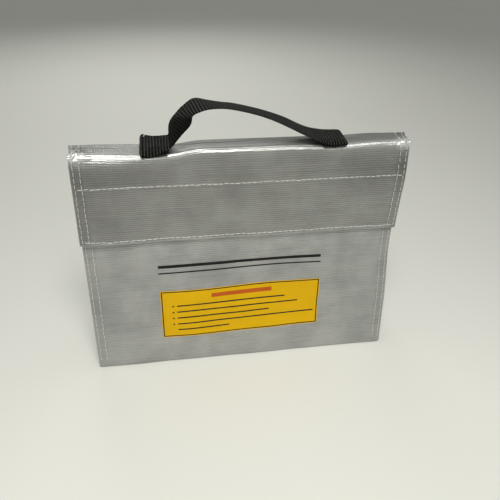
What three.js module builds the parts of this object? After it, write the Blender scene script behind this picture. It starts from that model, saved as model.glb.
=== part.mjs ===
import * as THREE from 'three';

// Upright charging and storage bag of coated glass cloth: a wedge-shaped body
// with folded side gussets, a lid and flap closed by a hook-and-loop strip, and
// a webbing carry handle. Millimetres, +Z up, the front faces -Y, the middle
// of the base is the origin.

// ---- driving dimensions ----
const BODY_W = 240;            // width over the side seams
const BODY_H = 179;            // height of the top panel above the floor
const BASE_HALF = 28;          // half depth of the base
const TOP_FRONT = -8;          // front plane at the height of the top panel
const TOP_BACK = 11;           // back plane at the height of the top panel
const CLOTH = 0.8;             // coated cloth thickness
const HEM = 0.6;               // turned-in cloth, pressed flat
const TAPE = 0.7;              // hook strip and loop strip, closed thickness of each
const GAP = 0.06;              // air between neighbouring layers
const FOLD_R = 2.5;            // outer radius of every fold in the wrap
const MOUTH_DOWN = 9;          // mouth of the front panel below the top fold
const FLAP_LEN = 66.5;         // flap, from the top fold to its free edge
const FLAP_HALF = 120.8;       // half width of the flap
const TOP_HALF = 120.4;        // half width of the top panel
const SEAM_W = 7.6;            // width of the sewn seam edges
const ROW_UP = 24.3;           // upper thread row below the top fold
const ROW_LOW = 64.2;          // lower thread row below the top fold
const SIDE_ROW_OUT = 2.3;      // outer side thread row, from the edge
const SIDE_ROW_IN = 6.9;       // inner side thread row, from the edge
const THREAD_W = 0.7;          // thread width as laid
const THREAD_H = 0.35;         // thread height above the cloth
const TAPE_W = 25;             // hook and loop strip width
const TAPE_HALF = 104;         // half length of both strips
const TAPE_U = 34;             // top edge of the strips below the top fold
const PLEAT = 24;              // how far each gusset folds inwards at the mouth
const WEB_W = 25;              // handle webbing width
const WEB_T = 1.5;             // handle webbing thickness
const TAB_LEFT = [-73, -53.2]; // left tab, from and to in X
const TAB_RIGHT = [54.2, 73.5];// right tab, from and to in X
const TAB_H = 3.2;             // height of the turned-under webbing

// ---- planes of the body ----
const leanF = Math.atan2(BASE_HALF + TOP_FRONT, BODY_H);
const leanB = Math.atan2(BASE_HALF - TOP_BACK, BODY_H);
// a point u down from the top line and n outwards, on the front or back plane
const onFront = (u, n) => [
  TOP_FRONT - u * Math.sin(leanF) - n * Math.cos(leanF),
  BODY_H - u * Math.cos(leanF) + n * Math.sin(leanF)];
const onBack = (u, n) => [
  TOP_BACK + u * Math.sin(leanB) + n * Math.cos(leanB),
  BODY_H - u * Math.cos(leanB) + n * Math.sin(leanB)];
const FRONT_LEN = BODY_H / Math.cos(leanF);
const BACK_LEN = BODY_H / Math.cos(leanB);
// layers in front of the front panel, each with its inner and outer face
const loopN = [GAP, GAP + TAPE];
const hookN = [loopN[1] + GAP, loopN[1] + GAP + TAPE];
const facingN = [hookN[1] + GAP, hookN[1] + GAP + HEM];
const flapN = [facingN[1] + GAP, facingN[1] + GAP + CLOTH];

// ---- builders ----
const root = new THREE.Group();
root.name = 'battery_bag';
const LOOK = {
  silver: { color: 0x9a9b94, roughness: 0.42, metalness: 0.35 },
  lining: { color: 0xb9b9b2, roughness: 0.6, metalness: 0.15 },
  thread: { color: 0xe6e4da, roughness: 0.8, metalness: 0 },
  blackThread: { color: 0x1b1b1a, roughness: 0.8, metalness: 0 },
  webbing: { color: 0x2b2b29, roughness: 0.85, metalness: 0 },
  hook: { color: 0x6f7070, roughness: 0.9, metalness: 0 },
  loop: { color: 0x7c7d7c, roughness: 1, metalness: 0 },
};
function add(name, geometry, look) {
  const mesh = new THREE.Mesh(geometry, new THREE.MeshStandardMaterial(LOOK[look]));
  mesh.name = name;
  root.add(mesh);
}
// closed body from rings of points joined in order, capped at both ends
function loft(rings) {
  const n = rings[0].length;
  const pos = [];
  const idx = [];
  for (const ring of rings) for (const p of ring) pos.push(p[0], p[1], p[2]);
  for (let k = 0; k + 1 < rings.length; k++) {
    for (let i = 0; i < n; i++) {
      const a = k * n + i, b = k * n + ((i + 1) % n);
      idx.push(a, b, b + n, a, b + n, a + n);
    }
  }
  return { pos, idx, n, last: (rings.length - 1) * n };
}
function closed(pos, idx) {
  const g = new THREE.BufferGeometry();
  g.setAttribute('position', new THREE.Float32BufferAttribute(pos, 3));
  g.setIndex(idx);
  // turn the body the right way out
  let v = 0;
  const P = (i) => new THREE.Vector3(pos[3 * i], pos[3 * i + 1], pos[3 * i + 2]);
  for (let i = 0; i < idx.length; i += 3) {
    v += P(idx[i]).dot(P(idx[i + 1]).cross(P(idx[i + 2])));
  }
  if (v < 0) for (let i = 0; i < idx.length; i += 3) [idx[i], idx[i + 1]] = [idx[i + 1], idx[i]];
  g.setIndex(idx);
  g.computeVertexNormals();
  return g;
}
// a strip: outer and inner lines of equal length, given per ring, joined along rings
function stripLoft(rings) {
  const m = rings[0].length / 2;
  const { pos, idx, n, last } = loft(rings.map((r) => [...r.slice(0, m), ...r.slice(m).reverse()]));
  for (const [base, flip] of [[0, true], [last, false]]) {
    for (let i = 0; i + 1 < m; i++) {
      const a = base + i, b = base + i + 1, c = base + n - 2 - i, d = base + n - 1 - i;
      if (flip) idx.push(a, c, b, a, d, c); else idx.push(a, b, c, a, c, d);
    }
  }
  return closed(pos, idx);
}
// a cloth or thread strip whose side view in Y, Z is an outer line and an inner line
function sheet(outer, inner, x0, x1) {
  const ring = (x) => [...outer, ...inner].map(([y, z]) => [x, y, z]);
  return stripLoft([ring(x0), ring(x1)]);
}
const flat = (plane, u0, u1, n0, n1, x0, x1) =>
  sheet([plane(u0, n1), plane(u1, n1)], [plane(u0, n0), plane(u1, n0)], x0, x1);
// an outer line with rounded corners, and the line one thickness inside it
function folded(points, radius, t, side) {
  const outer = [];
  const inner = [];
  const dir = (a, b) => { const l = Math.hypot(b[0] - a[0], b[1] - a[1]); return [(b[0] - a[0]) / l, (b[1] - a[1]) / l]; };
  const inw = (d) => [-d[1] * side, d[0] * side];
  const put = (p, m) => { outer.push(p); inner.push([p[0] + m[0] * t, p[1] + m[1] * t]); };
  put(points[0], inw(dir(points[0], points[1])));
  for (let i = 1; i + 1 < points.length; i++) {
    const d0 = dir(points[i - 1], points[i]), d1 = dir(points[i], points[i + 1]);
    const m0 = inw(d0), m1 = inw(d1);
    const turn = Math.atan2(d0[0] * d1[1] - d0[1] * d1[0], d0[0] * d1[0] + d0[1] * d1[1]);
    const back = radius * Math.tan(Math.abs(turn) / 2);
    const c = [points[i][0] - d0[0] * back + m0[0] * radius, points[i][1] - d0[1] * back + m0[1] * radius];
    const steps = 6;
    for (let k = 0; k <= steps; k++) {
      const a = (turn * k) / steps;
      const m = [m0[0] * Math.cos(a) - m0[1] * Math.sin(a), m0[0] * Math.sin(a) + m0[1] * Math.cos(a)];
      put([c[0] - m[0] * radius, c[1] - m[1] * radius], m);
    }
  }
  const e = points.length - 1;
  put(points[e], inw(dir(points[e - 1], points[e])));
  return [outer, inner];
}

// ---- wrap of the body ----
const FOLD_RUN = 6;            // straight run of cloth on each side of a fold
const baseFront = [-BASE_HALF, 0];
const baseBack = [BASE_HALF, 0];
{
  const [o, i] = folded([onFront(FRONT_LEN - FOLD_RUN, 0), baseFront, baseBack, onBack(BACK_LEN - FOLD_RUN, 0)], FOLD_R, CLOTH, 1);
  add('bottom_panel', sheet(o, i, -BODY_W / 2, BODY_W / 2), 'silver');
}
add('front_panel', flat(onFront, MOUTH_DOWN, FRONT_LEN - FOLD_RUN - GAP, -CLOTH, 0, -BODY_W / 2, BODY_W / 2), 'silver');
const LID_U = 5;               // the lid turns on the back plane, this far below the top line
add('back_panel', flat(onBack, LID_U + 0.03, BACK_LEN - FOLD_RUN - GAP, -CLOTH, 0, -BODY_W / 2, BODY_W / 2), 'silver');
const flapTop = onFront(0, flapN[1]);
const flapCorner = [flapTop[0] - (BODY_H - flapTop[1]) * -Math.tan(leanF), BODY_H];
const flapStart = 5;           // flap panel starts this far below the fold
{
  const [o, i] = folded([onBack(LID_U, 0), [TOP_BACK, BODY_H], flapCorner, onFront(flapStart, flapN[1])], FOLD_R, CLOTH, 1);
  add('top_panel', sheet(o, i, -TOP_HALF, TOP_HALF), 'silver');
}
add('flap_panel', flat(onFront, flapStart + 0.02, FLAP_LEN, flapN[0], flapN[1], -FLAP_HALF, FLAP_HALF), 'silver');

// ---- inside of the flap ----
const HEM_W = 7.8;
add('flap_facing', flat(onFront, ROW_UP - 3, FLAP_LEN - 9, facingN[0], facingN[1], -FLAP_HALF + HEM_W + 0.1, FLAP_HALF - HEM_W - 0.1), 'lining');
add('flap_free_edge_hem', flat(onFront, FLAP_LEN - 8.9, FLAP_LEN - 0.1, facingN[0], facingN[1], -FLAP_HALF + HEM_W + 0.1, FLAP_HALF - HEM_W - 0.1), 'lining');
add('flap_left_hem', flat(onFront, flapStart + 2, FLAP_LEN - 0.1, facingN[0], facingN[1], -FLAP_HALF + 0.1, -FLAP_HALF + HEM_W), 'lining');
add('flap_right_hem', flat(onFront, flapStart + 2, FLAP_LEN - 0.1, facingN[0], facingN[1], FLAP_HALF - HEM_W, FLAP_HALF - 0.1), 'lining');
add('hook_strip', flat(onFront, TAPE_U, TAPE_U + TAPE_W, hookN[0], hookN[1], -TAPE_HALF, TAPE_HALF), 'hook');

// ---- front panel trim ----
add('loop_strip', flat(onFront, TAPE_U, TAPE_U + TAPE_W, loopN[0], loopN[1], -TAPE_HALF, TAPE_HALF), 'loop');
add('mouth_hem', flat(onFront, MOUTH_DOWN + 0.1, MOUTH_DOWN + 11, -CLOTH - GAP - HEM, -CLOTH - GAP, -BODY_W / 2 + SEAM_W + 1, BODY_W / 2 - SEAM_W - 1), 'lining');

// ---- gussets: one cloth each side, folded inwards in a V that deepens upwards ----
const seamIn = -CLOTH - GAP;   // face the turned seam edges lie on
const GUS_LOW = 2.2;           // gusset cloth starts just over the base cloth
const GUS_TOP = BODY_H - MOUTH_DOWN - 2;
const GUS_LEVELS = [[0, 0.1], [0.16, 0.42], [0.5, 0.8], [1, 1]]; // share of height, share of pleat
function gusset(sign) {
  const pos = [], idx = [];
  for (const [h, share] of GUS_LEVELS) {
    const z = GUS_LOW + (GUS_TOP - GUS_LOW) * h;
    const uF = (BODY_H - z) / Math.cos(leanF), uB = (BODY_H - z) / Math.cos(leanB);
    const yF = onFront(uF, seamIn - HEM - GAP)[0], yB = onBack(uB, seamIn - HEM - GAP)[0];
    const x = BODY_W / 2 - SEAM_W - 0.4, pleat = PLEAT * share;
    const run = (yB - yF) / 2;
    const t = CLOTH * Math.hypot(run, pleat) / run; // thickness measured along X
    for (const o of [0, -t]) {
      pos.push(sign * (x + o), yF, z, sign * (x - pleat + o), (yF + yB) / 2, z, sign * (x + o), yB, z);
    }
  }
  // per ring: outer front, crease, back, then inner front, crease, back; both
  // faces of the cloth are split along the same diagonals
  for (let k = 0; k + 1 < GUS_LEVELS.length; k++) {
    const p = 6 * k, q = 6 * (k + 1);
    idx.push(p, p + 1, q + 1, p, q + 1, q, p + 1, p + 2, q + 1, p + 2, q + 2, q + 1);
    idx.push(p + 3, q + 4, p + 4, p + 3, q + 3, q + 4, p + 4, q + 4, p + 5, p + 5, q + 4, q + 5);
    idx.push(p, q, q + 3, p, q + 3, p + 3, p + 2, p + 5, q + 5, p + 2, q + 5, q + 2);
  }
  const e = 6 * (GUS_LEVELS.length - 1);
  idx.push(0, 4, 1, 0, 3, 4, 1, 5, 2, 1, 4, 5, e, e + 1, e + 4, e, e + 4, e + 3, e + 1, e + 2, e + 5, e + 1, e + 5, e + 4);
  return closed(pos, idx);
}
add('left_gusset', gusset(-1), 'silver');
add('right_gusset', gusset(1), 'silver');

// ---- turned seam edges ----
const sides = [['left', -1], ['right', 1]];
const span = (sign, a, b) => (sign < 0 ? [-b, -a] : [a, b]);
for (const [side, sign] of sides) {
  const [x0, x1] = span(sign, BODY_W / 2 - SEAM_W, BODY_W / 2 - 0.1);
  add(`${side}_front_seam_edge`, flat(onFront, MOUTH_DOWN + 0.1, FRONT_LEN - 6.2, seamIn - HEM, seamIn, x0, x1), 'lining');
  add(`${side}_back_seam_edge`, flat(onBack, MOUTH_DOWN + 0.1, BACK_LEN - 6.2, seamIn - HEM, seamIn, x0, x1), 'lining');
  const g = new THREE.BoxGeometry(SEAM_W - 0.1, 2 * BASE_HALF - 12, HEM);
  g.translate((x0 + x1) / 2, 0, CLOTH + HEM / 2);
  add(`${side}_base_seam_edge`, g, 'lining');
}

// ---- thread rows ----
// across the flap, the mouth and the loop strip
const across = (name, u, n, half, look) =>
  add(name, flat(onFront, u - THREAD_W / 2, u + THREAD_W / 2, n, n + THREAD_H, -half, half), look);
across('flap_upper_thread_row', ROW_UP, flapN[1], FLAP_HALF - 3.4, 'thread');
across('flap_lower_thread_row', ROW_LOW, flapN[1], FLAP_HALF - 3.4, 'thread');
across('mouth_thread_row', MOUTH_DOWN + 9, 0, BODY_W / 2 - SEAM_W - 1, 'thread');
add('loop_upper_thread_row', flat(onFront, TAPE_U - 1.2, TAPE_U - 0.5, 0, THREAD_H, -TAPE_HALF, TAPE_HALF), 'thread');
add('loop_lower_thread_row', flat(onFront, TAPE_U + TAPE_W + 0.5, TAPE_U + TAPE_W + 1.2, 0, THREAD_H, -TAPE_HALF, TAPE_HALF), 'thread');
// double rows down the sides
const rowsAt = [['outer', SIDE_ROW_OUT], ['inner', SIDE_ROW_IN]];
for (const [side, sign] of sides) {
  for (const [row, inset] of rowsAt) {
    const fx = sign * (FLAP_HALF - inset), tx = sign * (TOP_HALF - inset), bx = sign * (BODY_W / 2 - inset);
    const h = THREAD_W / 2;
    // flap rows stop where they meet the two cross rows
    const uStart = flapStart + 0.4;
    const uEnd = row === 'outer' ? FLAP_LEN - 0.6 : FLAP_LEN - 0.6;
    if (row === 'outer') {
      add(`${side}_flap_outer_thread_row`, flat(onFront, uStart, uEnd, flapN[1], flapN[1] + THREAD_H, fx - h, fx + h), 'thread');
    } else {
      // the inner row passes over both cross rows
      const lift = flapN[1] + THREAD_H + 0.02, low = flapN[1];
      const path = [[uStart, low], [ROW_UP - 0.9, low], [ROW_UP - 0.5, lift], [ROW_UP + 0.5, lift], [ROW_UP + 0.9, low],
        [ROW_LOW - 0.9, low], [ROW_LOW - 0.5, lift], [ROW_LOW + 0.5, lift], [ROW_LOW + 0.9, low], [uEnd, low]];
      add(`${side}_flap_inner_thread_row`, sheet(path.map(([u, n]) => onFront(u, n + THREAD_H)), path.map(([u, n]) => onFront(u, n)), fx - h, fx + h), 'thread');
    }
    const y0 = flapCorner[0] + FOLD_R + 0.4, y1 = TOP_BACK - FOLD_R - 0.1;
    const g = new THREE.BoxGeometry(THREAD_W, y1 - y0, THREAD_H);
    g.translate(tx, (y0 + y1) / 2, BODY_H + THREAD_H / 2);
    add(`${side}_top_${row}_thread_row`, g, 'thread');
    add(`${side}_front_${row}_thread_row`, flat(onFront, FLAP_LEN + 3, FRONT_LEN - 7, 0, THREAD_H, bx - h, bx + h), 'thread');
    add(`${side}_back_${row}_thread_row`, flat(onBack, LID_U + 0.5, BACK_LEN - 7, 0, THREAD_H, bx - h, bx + h), 'thread');
  }
}

// ---- carry handle ----
// centre line of the webbing: x, height over the top panel, roll in degrees
// (a positive roll lifts the rear edge)
const HANDLE = [
  [-53.0, 4.6, 0], [-50.5, 8.6, 5], [-46.5, 13.5, 6], [-42.5, 17.8, 5],
  [-39.0, 23.0, 4], [-35.5, 27.0, 5], [-30.5, 28.4, 2], [-24.5, 28.2, -4],
  [-16.5, 27.9, -8], [-8.0, 27.0, -10], [2.0, 25.0, -10], [12.0, 22.3, -10],
  [21.0, 18.9, -9], [30.0, 14.6, -8], [38.0, 10.6, -8], [45.0, 7.3, -6], [53.8, 4.9, 0]];
const CUT_LEFT = 4;            // the grip starts at this station
const CUT_RIGHT = 14;          // and ends at this one
function catmull(p0, p1, p2, p3, t) {
  return 0.5 * (2 * p1 + (p2 - p0) * t + (2 * p0 - 5 * p1 + 4 * p2 - p3) * t * t + (3 * p1 - p0 - 3 * p2 + p3) * t * t * t);
}
function handleRing(s) {
  const at = (v) => {
    const last = HANDLE.length - 1;
    const i = Math.min(last - 1, Math.floor(v)), t = v - i;
    const q = [i - 1, i, i + 1, i + 2].map((k) => HANDLE[Math.max(0, Math.min(last, k))]);
    return [0, 1, 2].map((c) => catmull(q[0][c], q[1][c], q[2][c], q[3][c], t));
  };
  const [x, z, roll] = at(s);
  const a = at(Math.max(0, s - 0.05)), b = at(Math.min(HANDLE.length - 1 - 1e-6, s + 0.05));
  const dir = new THREE.Vector3(b[0] - a[0], 0, b[1] - a[1]).normalize();
  const wide = new THREE.Vector3(0, 1, 0).applyAxisAngle(dir, THREE.MathUtils.degToRad(roll));
  const up = new THREE.Vector3().crossVectors(dir, wide).normalize();
  const c = new THREE.Vector3(x, 0, BODY_H + z);
  const pt = (w, h) => { const p = c.clone().addScaledVector(wide, w).addScaledVector(up, h); return [p.x, p.y, p.z]; };
  const W = WEB_W / 2, T = WEB_T / 2;
  return [pt(-W, T), pt(W, T), pt(-W, -T), pt(W, -T)];
}
function webbing(s0, s1, steps) {
  const rings = [];
  for (let k = 0; k <= steps; k++) rings.push(handleRing(s0 + ((s1 - s0) * k) / steps));
  return stripLoft(rings);
}
const END = HANDLE.length - 1 - 1e-6;
add('handle_left_bend', webbing(0, CUT_LEFT - 0.01, 12), 'webbing');
add('handle_grip', webbing(CUT_LEFT, CUT_RIGHT, 40), 'webbing');
add('handle_right_bend', webbing(CUT_RIGHT + 0.01, END, 6), 'webbing');

function tab(side, [x0, x1], foldAtLow) {
  const z0 = BODY_H + 0.03, z1 = z0 + TAB_H;
  const pts = foldAtLow
    ? [[x1, z0], [x0, z0], [x0, z1], [x1, z1]]
    : [[x0, z0], [x1, z0], [x1, z1], [x0, z1]];
  const [o, i] = folded(pts, 1.6, WEB_T, foldAtLow ? -1 : 1);
  const ring = (y) => [...o, ...i].map(([x, z]) => [x, y, z]);
  add(`handle_${side}_tab`, stripLoft([ring(-WEB_W / 2), ring(WEB_W / 2)]), 'webbing');
  // box stitch: a frame with a cross in it
  const m = 2.6, line = 0.7;
  const ax = x0 + m, bx = x1 - m, ay = -WEB_W / 2 + m, by = WEB_W / 2 - m;
  const shape = new THREE.Shape([[ax, ay], [bx, ay], [bx, by], [ax, by]].map(([x, y]) => new THREE.Vector2(x, y)));
  const cx = (ax + bx) / 2, cy = (ay + by) / 2, hx = (bx - ax) / 2 - line, hy = (by - ay) / 2 - line;
  const kx = line * 0.75, ky = line * 0.75;
  for (const tri of [
    [[-hx + kx, -hy], [hx - kx, -hy], [0, -ky]], [[-hx + kx, hy], [0, ky], [hx - kx, hy]],
    [[-hx, -hy + ky], [-kx, 0], [-hx, hy - ky]], [[hx, -hy + ky], [hx, hy - ky], [kx, 0]]]) {
    shape.holes.push(new THREE.Path(tri.map(([x, y]) => new THREE.Vector2(cx + x, cy + y))));
  }
  const g = new THREE.ExtrudeGeometry(shape, { depth: 0.3, bevelEnabled: false });
  g.translate(0, 0, z1);
  add(`handle_${side}_box_stitch`, g, 'blackThread');
}
tab('left', TAB_LEFT, true);
tab('right', TAB_RIGHT, false);

export default root;
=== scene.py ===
"""Upright silver cloth bag for battery packs, with a fold-over flap and a webbing handle.

Lengths in this script are millimetres unless a name ends in _m. The wrap of
the bag, its gussets, the flap's inside, every row of stitches and the webbing
are modelled here as cloth over the CAD frame.
"""
import math

import bpy
import numpy as np
from mathutils import Matrix, Vector


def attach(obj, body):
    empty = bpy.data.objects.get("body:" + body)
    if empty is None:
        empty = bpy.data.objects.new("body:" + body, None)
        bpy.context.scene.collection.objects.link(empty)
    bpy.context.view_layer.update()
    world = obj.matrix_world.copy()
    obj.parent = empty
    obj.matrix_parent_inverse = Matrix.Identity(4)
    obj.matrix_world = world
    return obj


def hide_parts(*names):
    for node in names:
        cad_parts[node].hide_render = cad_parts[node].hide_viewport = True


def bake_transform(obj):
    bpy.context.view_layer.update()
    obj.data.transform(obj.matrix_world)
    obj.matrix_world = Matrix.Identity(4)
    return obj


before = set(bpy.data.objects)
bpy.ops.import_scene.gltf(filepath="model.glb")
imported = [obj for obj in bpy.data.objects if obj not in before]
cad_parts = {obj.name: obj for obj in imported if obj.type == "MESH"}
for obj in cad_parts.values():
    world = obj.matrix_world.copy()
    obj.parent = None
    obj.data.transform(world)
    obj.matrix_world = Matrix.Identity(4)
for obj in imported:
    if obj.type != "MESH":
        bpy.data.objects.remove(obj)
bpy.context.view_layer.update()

# -------------------- dimensions
HEIGHT = 179.0
TOP_FRONT, TOP_BACK, BASE = -8.0, 11.0, 28.0
HALF, TOP_HALF, FLAP_HALF = 120.0, 120.4, 120.8
CLOTH, HEM, TAPE, GAP = 0.8, 0.6, 0.7, 0.06
MOUTH = 9.0
FLAP_LEN = 66.5
ROW_UP, ROW_LOW = 24.3, 64.2
SEAM_W = 7.6
TAPE_U, TAPE_W, TAPE_HALF = 34.0, 25.0, 104.0
LOOP_N = (GAP, GAP + TAPE)
HOOK_N = (LOOP_N[1] + GAP, LOOP_N[1] + GAP + TAPE)
FACE_N = (HOOK_N[1] + GAP, HOOK_N[1] + GAP + HEM)
FLAP_N = (FACE_N[1] + GAP, FACE_N[1] + GAP + CLOTH)
LEAN_F = math.atan2(BASE + TOP_FRONT, HEIGHT)
LEAN_B = math.atan2(BASE - TOP_BACK, HEIGHT)
SF, CF, SB, CB = math.sin(LEAN_F), math.cos(LEAN_F), math.sin(LEAN_B), math.cos(LEAN_B)
JOIN_Y = 1.0  # where the front and rear cloth of the lid meet


def on_front(u, n=0.0):
    return np.array([TOP_FRONT - u * SF - n * CF, HEIGHT - u * CF + n * SF])


def on_back(u, n=0.0):
    return np.array([TOP_BACK + u * SB + n * CB, HEIGHT - u * CB + n * SB])


# -------------------- smooth noise
def noise3(seed, length, count=14, stretch=(1, 1, 1)):
    """Sum of plane waves of about the given length, about unit size."""
    rng = np.random.default_rng(seed)
    k = rng.normal(size=(count, 3))
    k /= np.linalg.norm(k, axis=1)[:, None]
    lengths = length * rng.uniform(0.65, 1.6, count)
    k *= (2 * math.pi / lengths)[:, None] / np.array(stretch, float)
    phase = rng.uniform(0, 2 * math.pi, count)
    amp = (lengths / length) / math.sqrt(count / 2)

    def f(p):
        return (np.sin(p @ k.T + phase) * amp).sum(-1)

    return f


broad = noise3(11, 95, stretch=(1.2, 1, 1))
medium = noise3(23, 34, stretch=(1.5, 1, 0.8))
fine = noise3(37, 11, stretch=(1.7, 1, 0.8))
crinkle = noise3(51, 7)
drift = noise3(67, 60)
glitter = noise3(83, 3.2)


def smooth(a, b, x):
    t = np.clip((x - a) / (b - a), 0, 1)
    return t * t * (3 - 2 * t)


def bump1(x, c, w):
    return np.exp(-(((x - c) / w) ** 2))


def ridge(v):
    return np.sqrt(v * v + 0.03) - 0.55


# -------------------- profiles
class Profile:
    """A rounded path in Y, Z with outward normals and the length along it."""

    def __init__(self, points, radii, side, steps=9):
        pts, nor = [], []
        P = [np.array(p, float) for p in points]

        def unit(a, b):
            return (b - a) / np.linalg.norm(b - a)

        def out(d):
            return np.array([-d[1] * side, d[0] * side])

        pts.append(P[0])
        nor.append(out(unit(P[0], P[1])))
        for i in range(1, len(P) - 1):
            d0, d1 = unit(P[i - 1], P[i]), unit(P[i], P[i + 1])
            n0, n1 = out(d0), out(d1)
            turn = math.atan2(d0[0] * d1[1] - d0[1] * d1[0], float(d0 @ d1))
            back = radii[i - 1] * math.tan(abs(turn) / 2)
            c = P[i] - d0 * back - n0 * radii[i - 1]
            for k in range(steps + 1):
                co, si = math.cos(turn * k / steps), math.sin(turn * k / steps)
                n = np.array([n0[0] * co - n0[1] * si, n0[0] * si + n0[1] * co])
                pts.append(c + n * radii[i - 1])
                nor.append(n)
        pts.append(P[-1])
        nor.append(out(unit(P[-2], P[-1])))
        self.p, self.n = np.array(pts), np.array(nor)
        self.s = np.r_[0, np.cumsum(np.linalg.norm(np.diff(self.p, axis=0), axis=1))]
        self.length = self.s[-1]

    def at(self, s):
        p = np.stack([np.interp(s, self.s, self.p[:, i]) for i in (0, 1)], -1)
        n = np.stack([np.interp(s, self.s, self.n[:, i]) for i in (0, 1)], -1)
        return p, n / np.linalg.norm(n, axis=-1, keepdims=True)


# -------------------- cloth shape
SIDE_ROWS = (2.3, 6.9)  # the double rows, from the side edge
GROOVE = 0.16  # how deep a row of stitches pulls the cloth in


def side_groove(x, half):
    """Cloth pulled in along the double rows of stitches at both sides."""
    d = 0
    for inset in SIDE_ROWS:
        d = d + bump1(np.abs(x), half - inset, 0.9)
    return d


def body_wave(x, p):
    """Slow waves shared by every layer, from the place on the body."""
    q = np.stack([x, p[..., 0], p[..., 1]], -1)
    stiff = 1 - 0.75 * smooth(100, 119, np.abs(x))
    base = smooth(0, 22, p[..., 1])
    w = 0.62 * broad(q) + 0.26 * medium(q) + 0.045 * fine(q)
    return w * stiff * (0.3 + 0.7 * base)


def slack_dents(x, u):
    """A hollow low on the right and a swelling on the left of the slack front."""
    return -1.5 * bump1(x, 42, 46) * bump1(u, 150, 30) + 1.1 * bump1(x, -66, 40) * bump1(u, 128, 34)


def rolled_edge(x, half):
    """Cloth rolling back at both side seams."""
    return smooth(half - 3.2, half + 0.6, np.abs(x))


def front_shape(x, u, p):
    d = body_wave(x, p) + slack_dents(x, u)
    d = d - GROOVE * side_groove(x, HALF) - 0.7 * rolled_edge(x, HALF)
    low = smooth(158, 178, u)
    d = d + low * (0.7 * np.sin(x / 19 + 0.7) + 0.45 * np.sin(x / 8.3)) * 0.55
    return d


def flap_extra(x, u):
    """How far the flap stands off the layers under it."""
    edge = smooth(44, 66, u)
    ripple = 0.5 + 0.5 * np.sin(x / 9.5 + 1.3 * np.sin(x / 31.0))
    d = edge * (0.1 + 0.35 * ripple) + 0.55 * ripple * smooth(61, 66.5, u)
    # puckers that gather along both cross rows
    pucker = 0.5 + 0.5 * np.sin(x * 2 * math.pi / 7.8 + 1.7 * np.sin(x / 13.0))
    for row in (ROW_UP, ROW_LOW):
        above, below = bump1(u, row - 3.2, 2.4), bump1(u, row + 3.0, 2.0)
        d = d - 0.22 * bump1(u, row, 1.0) + pucker * (0.2 * above + 0.26 * below)
    return d - GROOVE * side_groove(x, FLAP_HALF) - 0.9 * rolled_edge(x, FLAP_HALF) + 0.3


def settle(p):
    """How the soft bag has settled: one smooth shift of space that every cloth and stitch shares."""
    x, y, z = p[..., 0], p[..., 1], p[..., 2]
    out = p.copy()
    # the right side is drawn in at half height, and stands out a little above that
    out[..., 0] += smooth(62, 119, x) * (0.9 * bump1(z, 156, 17) - 2.8 * bump1(z, 98, 38))
    # the rear corners of the lid are pulled forward and splay a little
    rear = smooth(88, 118, np.abs(x)) * smooth(-4, 9, y) * smooth(156, 178, z)
    out[..., 1] -= 2.8 * rear
    out[..., 0] += rear * np.where(x > 0, 2.4, -1.3)
    # the lid rises to the right of the left tab, and stands a little higher at both ends
    puff = 2.5 * smooth(-54, -30, x) + 0.3 * smooth(80, 114, x) + 1.4 * smooth(-84, -116, x)
    out[..., 2] += puff * smooth(150, 176, z)
    return out


# -------------------- mesh helpers
def point_values(mesh, name, values, default):
    """One number per vertex for the materials to read."""
    if values is None:
        values = np.full(len(mesh.vertices), default)
    attribute = mesh.attributes.new(name, "FLOAT", "POINT")
    attribute.data.foreach_set("value", np.asarray(values).astype(np.float32))


def make(name, verts, faces, material, uv=None, wear_and_highlight=None, tone=None, sharp=55.0):
    """A smooth-shaded object from points in millimetres."""
    mesh = bpy.data.meshes.new(name)
    mesh.from_pydata((np.asarray(verts) * 0.001).tolist(), [], [tuple(f) for f in faces])
    mesh.update()
    if uv is not None:
        layer = mesh.uv_layers.new(name="cloth_m")
        idx = np.empty(len(mesh.loops), np.int64)
        mesh.loops.foreach_get("vertex_index", idx)
        layer.data.foreach_set("uv", (np.asarray(uv)[idx] * 0.001).astype(np.float32).ravel())
    # wear also carries painted highlights; tone carries painted light and shade
    point_values(mesh, "wear_and_highlight", wear_and_highlight, 0.0)
    point_values(mesh, "tone", tone, 1.0)
    mesh.polygons.foreach_set("use_smooth", np.ones(len(mesh.polygons), bool))
    mesh.set_sharp_from_angle(angle=math.radians(sharp))
    mesh.materials.append(material)
    obj = bpy.data.objects.new(name, mesh)
    bpy.context.scene.collection.objects.link(obj)
    return obj


def grid_faces(rows, cols, offset=0, flip=False):
    i, j = np.meshgrid(np.arange(rows - 1), np.arange(cols - 1), indexing="ij")
    a = (i * cols + j + offset).ravel()
    q = np.stack([a, a + 1, a + cols + 1, a + cols], -1)
    return q[:, ::-1] if flip else q


def shell(outer, inner):
    """Closed cloth body from two grids of points (rows, cols, 3)."""
    rows, cols = outer.shape[:2]
    verts = np.vstack([outer.reshape(-1, 3), inner.reshape(-1, 3)])
    m = rows * cols
    faces = [grid_faces(rows, cols), grid_faces(rows, cols, m, True)]
    top = np.arange(cols)
    bottom = top + (rows - 1) * cols
    left = np.arange(rows) * cols
    right = left + cols - 1
    for line, flip in ((top, False), (bottom, True), (left, True), (right, False)):
        a, b = line[:-1], line[1:]
        q = np.stack([a, a + m, b + m, b], -1)
        faces.append(q[:, ::-1] if flip else q)
    return verts, np.vstack(faces)


def outward(verts, faces):
    """Turn the body the right way out."""
    v = verts - verts.mean(0)
    a, b, c, d = (v[faces[:, k]] for k in range(4))
    vol = np.einsum("ij,ij->i", a, np.cross(b, c)).sum() + np.einsum("ij,ij->i", a, np.cross(c, d)).sum()
    return faces if vol > 0 else faces[:, ::-1]


def sheet_object(name, outer, inner, material, uv, wear_and_highlight=None, tone=None, sharp=55.0):
    """A closed sheet from its two faces, with one uv, wear with painted highlights and tone with painted light and
    shade for both.
    """
    verts, faces = shell(outer, inner)
    wear_and_highlight, tone = (None if v is None else np.tile(v.ravel(), 2) for v in (wear_and_highlight, tone))
    return make(name, verts, outward(verts, faces), material, np.vstack([uv.reshape(-1, 2)] * 2), wear_and_highlight, tone, sharp)


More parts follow.
